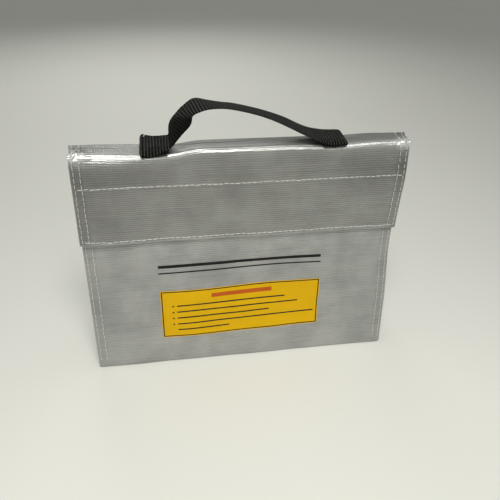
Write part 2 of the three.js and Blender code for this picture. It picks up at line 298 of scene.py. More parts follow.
def spread(lo, hi, step, fine_at=(), fine_step=0.45, reach=2.0):
    """Grid positions: even steps, closer together near the rows of stitches."""
    xs = list(np.linspace(lo, hi, max(2, int(round((hi - lo) / step)) + 1)))
    for c in fine_at:
        if lo < c < hi:
            xs += list(np.arange(max(lo, c - reach), min(hi, c + reach), fine_step))
    xs = np.unique(np.round(xs, 3))
    keep = [xs[0]]
    for v in xs[1:]:
        if v - keep[-1] >= fine_step * 0.6:
            keep.append(v)
    keep[-1] = hi
    return np.array(keep)


class Wrap:
    """One length of cloth: a profile, its shape and how its points are found."""

    def __init__(self, profile, shape, s_offset=0.0):
        self.profile, self.shape, self.s_offset = profile, shape, s_offset

    def at(self, x, s, lift=0.0):
        x, s = np.broadcast_arrays(np.asarray(x, float), np.asarray(s, float))
        p, n = self.profile.at(s)
        d, extra = self.shape(x, s, p, n)
        yz = p + n * (d + lift)[..., None]
        out = settle(np.stack([x, yz[..., 0], yz[..., 1]], -1) + extra)
        out[..., 2] = np.maximum(out[..., 2], 0.02)
        return out

    def body(self, name, X, S, thick, material, wear_and_highlight=None, tone=None, lift=0.0):
        """A closed body of cloth over a grid of places."""
        outer, inner = self.at(X, S, lift), self.at(X, S, lift - thick)
        low = outer[..., 2] < 0.05
        inner[..., 2] = np.where(low, np.maximum(inner[..., 2], outer[..., 2] + thick), inner[..., 2])
        return sheet_object(name, outer, inner, material, np.stack([X, S + self.s_offset], -1), wear_and_highlight, tone)

    def mesh(self, name, xs, ss, thick, material, wear_and_highlight=None, tone=None, lift=0.0):
        """The same over places given by two lines, with wear with painted highlights and tone with painted light and
        shade as functions.
        """
        S, X = np.meshgrid(ss, xs, indexing="ij")
        values = [None if f is None else f(X, S) for f in (wear_and_highlight, tone)]
        return self.body(name, X, S, thick, material, *values, lift=lift)

    def normal(self, x, s):
        e = 0.3
        a = self.at(x + e, s) - self.at(x - e, s)
        b = self.at(x, s + e) - self.at(x, s - e)
        n = np.cross(a, b)
        n /= np.linalg.norm(n, axis=-1, keepdims=True)
        _, flat = self.profile.at(s)
        sign = np.sign(n[..., 1] * flat[..., 0] + n[..., 2] * flat[..., 1])
        return n * sign[..., None]


# -------------------- materials
PER_MM = (1000, 1000, 1000)  # texture coordinates in millimetres
RIB_MM = 1.55  # from one rib of the silver cloth to the next


class Nodes:
    def __init__(self, name):
        self.mat = bpy.data.materials.new(name)
        self.mat.use_nodes = True
        self.t = self.mat.node_tree
        self.shader = next(n for n in self.t.nodes if n.type == "BSDF_PRINCIPLED")

    def new(self, kind, **values):
        """A node with its settings and the numbers of its inputs."""
        node = self.t.nodes.new(kind)
        for k, v in values.items():
            if hasattr(node, k):
                setattr(node, k, v)
            else:
                node.inputs[k].default_value = v
        return node

    def link(self, a, b):
        self.t.links.new(a, b)

    def math(self, op, a, b):
        node = self.new("ShaderNodeMath", operation=op)
        for i, v in enumerate((a, b)):
            if isinstance(v, (int, float)):
                node.inputs[i].default_value = v
            else:
                self.link(v, node.inputs[i])
        return node.outputs[0]

    def times(self, a, b):
        return self.math("MULTIPLY", a, b)

    def plus(self, a, b):
        return self.math("ADD", a, b)

    def coords(self, scale, use_uv=True):
        tc = self.new("ShaderNodeTexCoord")
        m = self.new("ShaderNodeMapping", Scale=scale)
        self.link(tc.outputs["UV" if use_uv else "Object"], m.inputs["Vector"])
        return m.outputs[0]

    def noise(self, vector, scale, detail=3.0, rough=0.55, distortion=0.0):
        n = self.new("ShaderNodeTexNoise", Scale=scale, Detail=detail, Roughness=rough, Distortion=distortion)
        self.link(vector, n.inputs["Vector"])
        return n.outputs["Fac"]

    def wave(self, vector, period, direction, distortion=0.0):
        n = self.new("ShaderNodeTexWave", wave_type="BANDS", bands_direction=direction,
                     Scale=2 * math.pi / 20 / period, Distortion=distortion, Detail=1.0)
        self.link(vector, n.inputs["Vector"])
        return n.outputs["Fac"]

    def ramp(self, fac, stops):
        n = self.new("ShaderNodeValToRGB")
        e = n.color_ramp.elements
        e[0].position, e[0].color = stops[0][0], (*stops[0][1], 1)
        e[1].position, e[1].color = stops[-1][0], (*stops[-1][1], 1)
        for pos, col in stops[1:-1]:
            el = e.new(pos)
            el.color = (*col, 1)
        self.link(fac, n.inputs["Fac"])
        return n.outputs["Color"]

    def mix(self, fac, a, b, blend="MIX"):
        n = self.new("ShaderNodeMix", data_type="RGBA", blend_type=blend)
        for socket, v in ((n.inputs[0], fac), (n.inputs[6], a), (n.inputs[7], b)):
            if isinstance(v, (int, float)):
                socket.default_value = v
            elif isinstance(v, tuple):
                socket.default_value = (*v, 1)
            else:
                self.link(v, socket)
        return n.outputs[2]

    def bump(self, height, distance, strength=1.0, under=None):
        n = self.new("ShaderNodeBump", Strength=strength, Distance=distance)
        self.link(height, n.inputs["Height"])
        if under is not None:
            self.link(under, n.inputs["Normal"])
        return n.outputs["Normal"]

    def attribute(self, name):
        return self.new("ShaderNodeAttribute", attribute_name=name).outputs["Fac"]

    def surface(self, colour, normal=None, **numbers):
        """Link what varies over the surface, and set on the shader what is the same all over."""
        self.link(colour, self.shader.inputs["Base Color"])
        if normal is not None:
            self.link(normal, self.shader.inputs["Normal"])
        for name, value in numbers.items():
            self.shader.inputs[name.replace("_", " ")].default_value = value
        return self.mat


def silver(name, dark, light, metal, rough, rib=1.0, contrast=0.5):
    """Aluminium-coated glass cloth: fine cross ribs, a satin coat, soft crinkles, rubbed edges with painted
    highlights, and painted light and shade from the tone attribute.
    """
    m = Nodes(name)
    mm, streak = m.coords(PER_MM), m.coords((55, 1000, 1000))
    ribs = m.wave(mm, RIB_MM, "Y", 2.4)
    yarn = m.wave(mm, 1.2, "X", 0.6)
    streaks = m.noise(streak, 0.42, 3.0, 0.6)
    blotch = m.noise(mm, 0.034, 4.0, 0.6)
    grain = m.noise(mm, 1.6, 2.0, 0.5)
    creases = m.noise(mm, 0.11, 4.0, 0.62, 0.6)
    wear_and_highlight = m.attribute("wear_and_highlight")
    clouds = m.times(m.math("SUBTRACT", blotch, 0.09), 0.85)
    lines = m.times(m.math("SUBTRACT", ribs, 0.5), m.plus(streaks, 0.15))
    tone = m.plus(m.times(streaks, 0.3), clouds)
    tone = m.plus(tone, m.times(lines, contrast * rib))
    col = m.ramp(tone, [(0.33, dark), (0.5, tuple((a + b) / 2 for a, b in zip(dark, light))), (0.68, light)])
    rubbed_and_highlight = m.times(wear_and_highlight, m.plus(m.times(grain, 0.6), 0.45))
    # the tone attribute multiplies in painted light and shade
    col = m.mix(1.0, col, m.attribute("tone"), "MULTIPLY")
    # rubbed places and painted highlights turn pale
    col = m.mix(rubbed_and_highlight, col, (0.88, 0.88, 0.86))
    uneven = m.plus(m.times(streaks, 0.6), m.times(grain, 0.4))
    r = m.plus(rough - 0.08, m.times(uneven, 0.18))
    m.link(r, m.shader.inputs["Roughness"])
    height = m.plus(ribs, m.times(yarn, 0.45))
    height = m.plus(height, m.times(streaks, 0.22))
    creased = m.bump(creases, 0.0012, 0.36)
    return m.surface(col, m.bump(height, 0.00011 * rib, 0.8, creased), Metallic=metal)


def tints(colour, spread_):
    """Ramp stops a little darker and a little lighter than a colour."""
    return [(0.3, tuple(c * (1 - spread_) for c in colour)), (0.7, tuple(min(1.0, c * (1 + spread_)) for c in colour))]


def printed(name, colour, spread_, rough):
    """Ink on the coated cloth, with the cloth's ribs showing through."""
    m = Nodes(name)
    mm = m.coords(PER_MM)
    ribs = m.wave(mm, RIB_MM, "Y", 0.8)
    blotch = m.noise(mm, 0.05, 3.0, 0.6)
    grain = m.noise(mm, 1.1, 2.0, 0.5)
    tone = m.plus(m.times(blotch, 0.6), m.times(grain, 0.4))
    creased = m.bump(m.noise(mm, 0.11, 4.0, 0.62, 0.6), 0.0016, 0.4)
    return m.surface(m.ramp(tone, tints(colour, spread_)), m.bump(ribs, 0.0001, 0.6, creased),
                     Roughness=rough, Specular_IOR_Level=0.12)


def thread(name, colour, spread_=0.12):
    """Twisted sewing thread."""
    m = Nodes(name)
    tc = m.coords(PER_MM, False)
    n = m.noise(tc, 1.4, 3.0, 0.6)
    twist = m.bump(m.wave(tc, 0.45, "DIAGONAL", 1.0), 0.00008, 0.8)
    return m.surface(m.ramp(n, tints(colour, spread_)), twist, Roughness=0.8, Specular_IOR_Level=0.2)


def webbing_material():
    """Black polypropylene webbing with ribs across it."""
    m = Nodes("black_webbing")
    mm = m.coords(PER_MM)
    ribs = m.wave(mm, 2.1, "X", 0.2)
    cells = m.wave(mm, 1.5, "Y", 0.5)
    fibre = m.noise(mm, 2.2, 3.0, 0.65)
    dust = m.noise(mm, 0.12, 3.0, 0.6)
    h = m.plus(m.times(ribs, 0.66), m.times(m.times(cells, ribs), 0.34))
    tone = m.plus(m.times(h, 0.55), m.times(m.plus(fibre, dust), 0.22))
    # the tone attribute darkens the webbing with painted shade
    tone = m.times(tone, m.attribute("tone"))
    stops = [(0.22, (0.0014, 0.0014, 0.0012)), (0.52, (0.010, 0.0097, 0.0085)), (0.78, (0.075, 0.073, 0.065))]
    weave = m.bump(m.plus(h, m.times(fibre, 0.3)), 0.0006, 1.0)
    return m.surface(m.ramp(tone, stops), weave, Roughness=0.8, Specular_IOR_Level=0.1,
                     Sheen_Weight=0.01, Sheen_Roughness=0.5)


def tape_material(name, colour, pile):
    """Hook or loop pile on a woven ground."""
    m = Nodes(name)
    mm = m.coords(PER_MM)
    v = m.new("ShaderNodeTexVoronoi", Scale=pile)
    m.link(mm, v.inputs["Vector"])
    n = m.noise(mm, pile * 1.7, 3.0, 0.7)
    h = m.plus(v.outputs["Distance"], m.times(n, 0.8))
    stops = [(0.2, tuple(c * 0.55 for c in colour)), (0.9, tuple(min(1.0, c * 1.4) for c in colour))]
    return m.surface(m.ramp(h, stops), m.bump(h, 0.0005, 0.9), Roughness=0.9, Sheen_Weight=0.4)


SILVER = silver("silver_coated_cloth", (0.30, 0.303, 0.287), (0.43, 0.433, 0.41), 0.70, 0.40)
SILVER_FRONT = silver("silver_front_cloth", (0.286, 0.289, 0.283), (0.412, 0.416, 0.406), 0.70, 0.40, 1.0, 0.3)
INSIDE = silver("cloth_inside", (0.30, 0.30, 0.285), (0.42, 0.42, 0.40), 0.3, 0.52, 0.8)
YELLOW = printed("print_yellow", (0.74, 0.43, 0.003), 0.06, 0.55)
DARK = printed("print_dark", (0.016, 0.015, 0.014), 0.2, 0.55)
RED = printed("print_red", (0.52, 0.105, 0.012), 0.12, 0.5)
WHITE_THREAD = thread("white_thread", (0.80, 0.79, 0.73))
BLACK_THREAD = thread("black_thread", (0.02, 0.02, 0.019), 0.3)
WEBBING = webbing_material()
HOOK = tape_material("hook_tape", (0.20, 0.20, 0.20), 0.9)
LOOP = tape_material("loop_tape", (0.24, 0.24, 0.24), 0.6)


# -------------------- wraps
NONE3 = np.zeros(3)


def lid_sag(x, y):
    """Drop of the top panel: under the handle tabs in front, and along the rear edge."""
    rear = smooth(-2, 9, y)
    d = -1.3 * rear * (smooth(-85, -50, x) - smooth(62, 100, x))
    front = 1 - smooth(-11, 4, y)
    d = d - 1.2 * front * (bump1(x, -64, 17) + bump1(x, 64, 17))
    return d - 0.5 * bump1(x, 0, 70) * bump1(y, 0, 9)


def corner_crinkle(x, p):
    """Small hard creases of the coated cloth at the top front corners."""
    q = np.stack([x, p[..., 0], p[..., 1]], -1)
    near = smooth(99, 119, np.abs(x)) * smooth(166, 177, p[..., 1]) * (1 - smooth(-6, 4, p[..., 0]))
    return near * (0.62 * ridge(crinkle(q)) + 0.25 * ridge(glitter(q)))


# front cloth: from under the base, round the front fold, up to the mouth
front_profile = Profile([(0, 0), (-BASE, 0), on_front(MOUTH)], [3.2], 1)


def front_disp(x, s, p, n):
    u = (HEIGHT - p[..., 1]) / CF
    face = smooth(0.2, 3.5, p[..., 1])
    return front_shape(x, u, p) * face, NONE3


front = Wrap(front_profile, front_disp, 400)


def front_s(u):
    return front_profile.length - (np.asarray(u, float) - MOUTH)


# rear cloth: from under the base, round the rear fold, up the back and on to the lid
back_profile = Profile([(0, 0), (BASE, 0), (TOP_BACK, HEIGHT), (JOIN_Y, HEIGHT)], [3.2, 3.4], -1)


def back_disp(x, s, p, n):
    face = smooth(0.2, 3.5, p[..., 1])
    top = smooth(0.35, 0.9, n[..., 1])
    low = smooth(2, 24, p[..., 1])
    dents = 1.1 * bump1(x, -30, 50) * bump1(p[..., 1], 80, 42) - 1.2 * bump1(x, 62, 34) * bump1(p[..., 1], 112, 40)
    d = body_wave(x, p) * face * (1 - 0.7 * top)
    d = d - GROOVE * side_groove(x, HALF) * face
    d = d + (1 - top) * dents * low
    d = d + (1 - low) * face * 0.5 * np.sin(x / 17.0)
    extra = np.stack([0 * x, 0 * x, lid_sag(x, p[..., 0]) * smooth(165, 178, p[..., 1])], -1)
    return d, extra


back = Wrap(back_profile, back_disp, 0)

# lid and flap: from the middle of the lid, over the front fold, down to the free edge
flap_top = on_front(0, FLAP_N[1])
corner = (flap_top[0] + (HEIGHT - flap_top[1]) * math.tan(LEAN_F), HEIGHT)
top_profile = Profile([(JOIN_Y, HEIGHT), corner, on_front(FLAP_LEN, FLAP_N[1])], [4.6], -1, 14)
top_fold = float(top_profile.s[8])


def top_disp(x, s, p, n):
    lid = smooth(0.2, 0.9, n[..., 1])
    ref = p - n * (FLAP_N[1] * (1 - lid))[..., None]
    u = np.maximum((HEIGHT - ref[..., 1]) / CF, 0)
    hang = 1 - lid
    d = body_wave(x, ref) * (1 - 0.7 * lid) + hang * flap_extra(x, u) - lid * GROOVE * side_groove(x, TOP_HALF)
    d = d + hang * slack_dents(x, u)
    fold = bump1(u, 3, 7)
    slack = smooth(-58, -84, x) + 0.25 * smooth(96, 116, x)
    d = d - 1.7 * slack * bump1(s, top_fold, 5.5)
    d = d + fold * 0.35 * drift(np.stack([x, 0 * x, 0 * x], -1)) + corner_crinkle(x, p)
    extra = np.stack([0 * x, 0 * x, lid_sag(x, p[..., 0]) * smooth(166, 178, p[..., 1])], -1)
    return d, extra


top = Wrap(top_profile, top_disp, back_profile.length)


def flap_s(u):
    return top_profile.length - (FLAP_LEN - np.asarray(u, float))


def flap_inner(x, s, p, n):
    u = np.maximum((HEIGHT - p[..., 1]) / CF, 0)
    return body_wave(x, p - n * 2.0) + flap_extra(x, u) - 0.12 + slack_dents(x, u), NONE3


def front_layer(x, s, p, n):
    u = (HEIGHT - p[..., 1]) / CF
    return front_shape(x, u, p), NONE3


def across(half, step):
    """Places from side to side, closer together at the double rows."""
    return spread(-half, half, step, [sign * (half - inset) for sign in (-1, 1) for inset in SIDE_ROWS], 0.6)


BASE_STEP = 2.0
xs_front, xs_flap = across(HALF, BASE_STEP), across(FLAP_HALF, 1.5)


def edge_wear(half, extra_lines):
    """Rubbed cut edges, and folds given as place, width and strength."""
    def f(x, s):
        w = 0.12 * smooth(half - 1.6, half, np.abs(x))
        for line, width, strength in extra_lines:
            w = w + strength * bump1(s, line, width)
        return np.clip(w, 0, 1)
    return f


def seam_shade(x, half):
    """Painted shade along both side seams: the cloth outside the seam line is a little darker."""
    return 0.09 * smooth(half - SEAM_W - 1.6, half - SEAM_W, np.abs(x))


# Painted shading of the front cloth: painted light makes it brighter overall and in bands just below the flap and near
# the bottom, with painted shade a little darker towards the sides and along the side seams.
def front_painted_shading(x, s):
    u = MOUTH + front_profile.length - s
    # painted shadow under the flap's free edge, uneven along it
    flap_edge_shadow = 0.17 * bump1(u, 68.6, 2.0) * (0.65 + 0.35 * np.sin(x / 9.0))
    light = 0.09 * bump1(u, 72, 12) + 0.06 * bump1(u, 166, 16) - 0.03 * smooth(60, 110, np.abs(x))
    return 1.15 - flap_edge_shadow + light - seam_shade(x, HALF)


# Painted shading of the rear cloth: brighter overall, with painted shade over the lid, deepest in the middle, and
# along the side seams.
def back_painted_shading(x, s):
    lid = smooth(back_profile.length - 26, back_profile.length - 8, s)
    return 1.08 - (0.33 + 0.1 * bump1(x, 0, 60)) * lid - seam_shade(x, HALF)


# Painted shading of the lid and flap: darker overall, with painted shade on the upper flap towards both sides, over
# the lid (deepest in the middle), at the left end and along the side seams, and painted light on the lower flap
# towards the right.
def top_painted_shading(x, s):
    side = smooth(42, 114, np.abs(x))
    dark = 0.16 * bump1(s, top_fold + 17, 11) * side + 0.04 * bump1(s, top_fold + 20, 16)
    light = 0.07 * smooth(top_profile.length - 44, top_profile.length, s) * smooth(-30, 90, x)
    light = light - 0.05 * smooth(-60, -110, x)
    lid = smooth(top_fold - 2, top_fold - 6, s)
    return 0.87 - (0.12 + 0.1 * bump1(x, 0, 60)) * lid - dark + light - seam_shade(x, FLAP_HALF)


front_fold = float(front_profile.s[5])
ss = spread(0.5, front_profile.length, BASE_STEP, [front_fold], 0.5, 6)
front_wear = edge_wear(HALF, [(front_fold, 2.0, 0.12)])
front_cloth = front.mesh("front_cloth", xs_front, ss, CLOTH, SILVER_FRONT, front_wear, front_painted_shading)
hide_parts("front_panel", "bottom_panel")
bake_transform(front_cloth)

back_fold = float(back_profile.s[5])
rear_top = float(back_profile.s[-6])
ss = spread(0.5, back_profile.length, BASE_STEP, [back_fold, rear_top, rear_top - 3], 0.5, 6)


def back_width(x, s):
    """The lid is a touch wider than the back."""
    return x * (1 + (TOP_HALF / HALF - 1) * smooth(back_profile.length - 16, back_profile.length - 10, s))


S, X = np.meshgrid(ss, xs_front, indexing="ij")
XW = back_width(X, S)
back_wear = edge_wear(HALF, [(back_fold, 2.0, 0.12), (rear_top - 1.5, 2.5, 0.25)])
back_cloth = back.body("back_cloth", XW, S, CLOTH, SILVER, back_wear(X, S), back_painted_shading(XW, S))
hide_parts("back_panel", "bottom_panel")
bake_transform(back_cloth)

dense = [top_fold - 2, top_fold + 2, float(flap_s(ROW_UP)), float(flap_s(ROW_LOW))]
ss = spread(0, top_profile.length, 1.7, dense, 0.45, 3.2)


def top_x(s):
    """Half width along the lid and flap."""
    return TOP_HALF + (FLAP_HALF - TOP_HALF) * smooth(4, 14, s)


def top_wear_and_highlight(x, s):
    """Rubbed and painted bright places, for x from -1 to 1: a painted highlight along the fold, broader to the left
    and stronger to the right, rubbed and painted bright ends of the fold, and rubbed cut edges.
    """
    cut = 0.12 * smooth(0.986, 1.0, np.abs(x)) + 0.35 * smooth(top_profile.length - 1.2, top_profile.length, s)
    # the fold's terms paint its highlight into the colour
    fold = 0.4 * bump1(s, top_fold, 3.2) + 0.9 * smooth(0.90, 0.95, np.abs(x)) * bump1(s, top_fold, 4.5)
    left = 0.5 * smooth(-0.5, -0.85, x) * bump1(s, top_fold + 0.5, 6.0)
    right = 0.3 * smooth(0.35, 0.7, x) * bump1(s, top_fold, 3.5)
    return np.clip(cut + fold + left + right, 0, 1)


S, X = np.meshgrid(ss, xs_flap / FLAP_HALF, indexing="ij")
XW = X * top_x(S)
top_cloth = top.body("lid_and_flap_cloth", XW, S, CLOTH, SILVER, top_wear_and_highlight(X, S), top_painted_shading(XW, S))
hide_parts("top_panel", "flap_panel")
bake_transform(top_cloth)


# -------------------- layers of the closure
def layer(name, node, slot_name, body, material, normal, u_range, x_range, disp, step=3.0):
    """A flat layer of the closure: its outer face and thickness, and where it lies."""
    (n_outer, thick), (u0, u1), (x0, x1) = normal, u_range, x_range
    w_ = Wrap(Profile([on_front(u0, n_outer), on_front(u1, n_outer)], [], -1), disp, 400)
    obj = w_.mesh(name, spread(x0, x1, step), spread(0, w_.profile.length, step), thick, material)
    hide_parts(node)
    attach(obj, body)


HEM_W = 7.8
inside_half = FLAP_HALF - HEM_W - 0.1
INNER_X, TAPE_X = (-inside_half, inside_half), (-TAPE_HALF, TAPE_HALF)
TAPE_RANGE = (TAPE_U, TAPE_U + TAPE_W)
FLAP_LINING = ("lining", "flap", INSIDE, (FACE_N[1], HEM))
layer("flap_facing_cloth", "flap_facing", *FLAP_LINING, (ROW_UP - 3, FLAP_LEN - 9), INNER_X, flap_inner)
layer("flap_edge_turning", "flap_free_edge_hem", *FLAP_LINING,
      (FLAP_LEN - 8.9, FLAP_LEN - 0.1), INNER_X, flap_inner, 2.0)
for side, sign in (("left", -1), ("right", 1)):
    a, b = sorted((sign * (FLAP_HALF - 0.1), sign * (FLAP_HALF - HEM_W)))
    layer(f"{side}_flap_turning", f"flap_{side}_hem", *FLAP_LINING, (8, FLAP_LEN - 0.1), (a, b), flap_inner, 1.3)
layer("hook_tape", "hook_strip", "hook", "flap", HOOK, (HOOK_N[1] + 0.1, TAPE), TAPE_RANGE, TAPE_X, flap_inner)
layer("loop_tape", "loop_strip", "loop", "front", LOOP, (LOOP_N[1], TAPE), TAPE_RANGE, TAPE_X, front_layer)
layer("mouth_turning", "mouth_hem", "lining", "front", INSIDE,
      (-CLOTH - GAP, HEM), (MOUTH + 0.1, MOUTH + 11), (-HALF + SEAM_W + 1, HALF - SEAM_W - 1), front_layer, 2.0)


# -------------------- gussets with their seam allowances
def gusset(side, sign):
    zs = spread(2.2, HEIGHT - MOUTH * CF - 0.4, 2.2)
    rows, uvs = [], []
    for z in zs:
        yf = on_front((HEIGHT - z) / CF, -CLOTH - 0.1 - HEM / 2)[0]
        yb = on_back((HEIGHT - z) / CB, -CLOTH - 0.1 - HEM / 2)[0]
        mid = (yf + yb) / 2
        t = (z - 2.2) / (HEIGHT - 2.2)
        pleat = 1.5 + 22.5 * t ** 0.62
        inner_x = HALF - SEAM_W - 0.8
        ctrl = [(HALF - 0.25, yf), (inner_x, yf), (inner_x - pleat, mid), (inner_x, yb), (HALF - 0.25, yb)]
        pts = [np.array(ctrl[0])]
        for i in (1, 2, 3):
            a, b, c = (np.array(ctrl[k], float) for k in (i - 1, i, i + 1))
            cut = min(2.0 if i != 2 else 3.6, 0.42 * np.linalg.norm(b - a), 0.42 * np.linalg.norm(c - b))
            p0, p1 = b + (a - b) / np.linalg.norm(a - b) * cut, b + (c - b) / np.linalg.norm(c - b) * cut
            for k in range(7):
                q = k / 6
                pts.append((1 - q) ** 2 * p0 + 2 * q * (1 - q) * b + q * q * p1)
        pts.append(np.array(ctrl[4]))
        pts = np.array(pts)
        run = np.r_[0, np.cumsum(np.linalg.norm(np.diff(pts, axis=0), axis=1))]
        want = np.linspace(0, run[-1], 49)
        line = np.stack([np.interp(want, run, pts[:, i]) for i in (0, 1)], -1)
        rows.append(np.c_[sign * line[:, 0], line[:, 1], np.full(len(line), z)])
        uvs.append(np.c_[want, np.full(len(line), z)])
    mid_pts = np.array(rows)
    tangent = np.gradient(mid_pts, axis=1)
    normal = np.stack([tangent[..., 1], -tangent[..., 0], 0 * tangent[..., 0]], -1)
    normal /= np.linalg.norm(normal, axis=-1, keepdims=True)
    free = 1 - smooth(HALF - SEAM_W - 3.5, HALF - SEAM_W - 0.5, np.abs(mid_pts[..., 0]))
    d = free * (0.8 * broad(mid_pts + 40) + 0.42 * medium(mid_pts * 1.3) + 0.10 * ridge(fine(mid_pts)))
    mid_pts = mid_pts + normal * d[..., None] * sign
    outer, inner = settle(mid_pts + normal * HEM / 2), settle(mid_pts - normal * HEM / 2)
    wear_and_highlight = 0.25 * smooth(HALF - 1.4, HALF - 0.3, np.abs(mid_pts[..., 0]))
    obj = sheet_object(f"{side}_gusset_cloth", outer, inner, SILVER, np.array(uvs), wear_and_highlight)
    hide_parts(*(f"{side}_{part}" for part in ("gusset", "front_seam_edge", "back_seam_edge", "base_seam_edge")))
    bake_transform(obj)
    # the gusset's seam allowance along the base
    a, b = sorted((sign * (HALF - 0.3), sign * (HALF - SEAM_W)))
    ys = np.linspace(-22, 22, 23)
    xs_ = np.linspace(a, b, 7)
    Y, XX = np.meshgrid(ys, xs_, indexing="ij")
    lift = 1.5 + 0.14 * np.sin(Y / 4.1) + 0.35 * smooth(1.5, 7, np.abs(XX - sign * HALF))
    up = np.stack([XX, Y, lift], -1)
    down = np.stack([XX, Y, lift - HEM], -1)
    base = sheet_object(f"{side}_base_turning", up, down, INSIDE, np.stack([XX, Y], -1))
    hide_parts(f"{side}_base_seam_edge")
    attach(base, "bag")


gusset("left", -1)
gusset("right", 1)


# -------------------- stitches
STITCH_RING = 6
STITCH_AT = np.array([-1.0, -0.86, -0.5, 0.0, 0.5, 0.86, 1.0])


def capsules(centres, along, normals, length, width, height):
    """One small closed thread body per stitch, a little sunk at both ends."""
    across = np.cross(normals, along)
    verts, faces = [], []
    ring = np.arange(STITCH_RING) * 2 * math.pi / STITCH_RING
    for c, t, n, b in zip(centres, along, normals, across):
        base = len(verts)
        for a in STITCH_AT:
            r = max(0.28, math.sqrt(max(0.0, 1 - abs(a) ** 3.2)))
            up = height * (0.55 - 0.75 * a * a)
            for ang in ring:
                ring_at = b * math.cos(ang) * width / 2 * r + n * (up + math.sin(ang) * height * 0.62 * r)
                verts.append(c + t * a * length / 2 + ring_at)
        k = len(STITCH_AT)
        for i in range(k - 1):
            for j in range(STITCH_RING):
                p = base + i * STITCH_RING + j
                q = base + i * STITCH_RING + (j + 1) % STITCH_RING
                faces.append((p, q, q + STITCH_RING, p + STITCH_RING))
        faces.append(tuple(base + j for j in reversed(range(STITCH_RING))))
        faces.append(tuple(base + (k - 1) * STITCH_RING + j for j in range(STITCH_RING)))
    return verts, faces


STITCH_PITCH, STITCH_LEN, STITCH_HEIGHT = 4.0, 3.85, 0.34


def row(name, wrap_, pts, nodes, bodies, seed, width=0.5, blend_at=None):
    """White stitches along a line of (x, s) points on a cloth."""
    rng = np.random.default_rng(seed)
    pts = np.array(pts, float)
    run = np.r_[0, np.cumsum(np.linalg.norm(np.diff(pts, axis=0), axis=1))]
    count = int(run[-1] / STITCH_PITCH)
    c = (np.arange(count) + 0.5) * run[-1] / count
    x, s = (np.interp(c, run, pts[:, i]) for i in (0, 1))
    x2, s2 = (np.interp(np.minimum(c + 0.5, run[-1]), run, pts[:, i]) for i in (0, 1))
    x1, s1 = (np.interp(np.maximum(c - 0.5, 0), run, pts[:, i]) for i in (0, 1))
    jit = rng.normal(size=(count, 2)) * 0.12
    x, s = x + jit[:, 0], s + jit[:, 1]
    centre = wrap_.at(x, s)
    along = wrap_.at(x2, s2) - wrap_.at(x1, s1)
    normal = wrap_.normal(x, s)
    side = np.cross(normal, along)
    side /= np.linalg.norm(side, axis=1)[:, None]
    along = np.cross(side, normal)
    tilt = np.radians(rng.normal(size=count) * 4.0)
    along = along * np.cos(tilt)[:, None] + side * np.sin(tilt)[:, None]
    verts, faces = capsules(centre, along, normal, STITCH_LEN, width, STITCH_HEIGHT)
    obj = make(name, verts, faces, WHITE_THREAD, sharp=80)
    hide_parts(*nodes)
    if blend_at:
        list(bodies)
        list(blend_at)
        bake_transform(obj)
    else:
        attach(obj, bodies)


def cross_row(name, wrap_, half, s_at, body, seed):
    """A row straight across the front or flap."""
    row(f"{name}_stitches", wrap_, [(-half, s_at), (half, s_at)], [f"{name}_thread_row"], body, seed)


LID_FLAP = ((0, -0.0105, 0.1775), (0, -0.0125, 0.1705))
BAG_LID = ((0, 0.0115, 0.1705), (0, 0.0115, 0.1775))
SIDE_WIDTH = 0.36
end, mouth_end = FLAP_HALF - 3.2, HALF - SEAM_W - 1
cross_row("flap_upper", top, end, flap_s(ROW_UP), "flap", 2)
cross_row("flap_lower", top, end, flap_s(ROW_LOW), "flap", 3)
cross_row("mouth", front, mouth_end, front_s(18), "front", 4)
cross_row("loop_upper", front, TAPE_HALF, front_s(TAPE_U - 1), "front", 5)
cross_row("loop_lower", front, TAPE_HALF, front_s(TAPE_U + TAPE_W + 1), "front", 6)
seed = 10
for side, sign in (("left", -1), ("right", 1)):
    for name, inset in (("outer", SIDE_ROWS[0]), ("inner", SIDE_ROWS[1])):
        seed += 1
        x_top, x_flap, x_body = (sign * (half - inset) for half in (TOP_HALF, FLAP_HALF, HALF))
        tail = f"{name}_thread_row"
        row(f"{side}_flap_{name}_stitches", top, [(x_top, 1.5), (x_flap, 14), (x_flap, flap_s(FLAP_LEN - 0.8))],
            [f"{side}_flap_{tail}", f"{side}_top_{tail}"], ("lid", "flap"), seed, SIDE_WIDTH, LID_FLAP)
        row(f"{side}_front_{name}_stitches", front, [(x_body, front_s(FLAP_LEN + 3)), (x_body, front_s(172.5))],
            [f"{side}_front_{tail}"], "front", seed + 20, SIDE_WIDTH)
        row(f"{side}_back_{name}_stitches", back,
            [(x_body, back_profile.length - 1.5), (x_body, back_profile.s[9] + 7)],
            [f"{side}_back_{tail}"], ("bag", "lid"), seed + 40, SIDE_WIDTH, BAG_LID)


# -------------------- printing on the front
PRINT_STEP, PRINT_T, ON_CLOTH, ON_PANEL = 2.0, 0.03, 0.09, 0.13


def patch(name, material, x0, x1, u0, u1, lift):
    """A thin printed area that follows the front cloth."""
    places = np.sort(front_s(spread(u0, u1, PRINT_STEP)))
    obj = front.mesh(name, spread(x0, x1, PRINT_STEP), places, PRINT_T, material, lift=lift)
    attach(obj, "front")


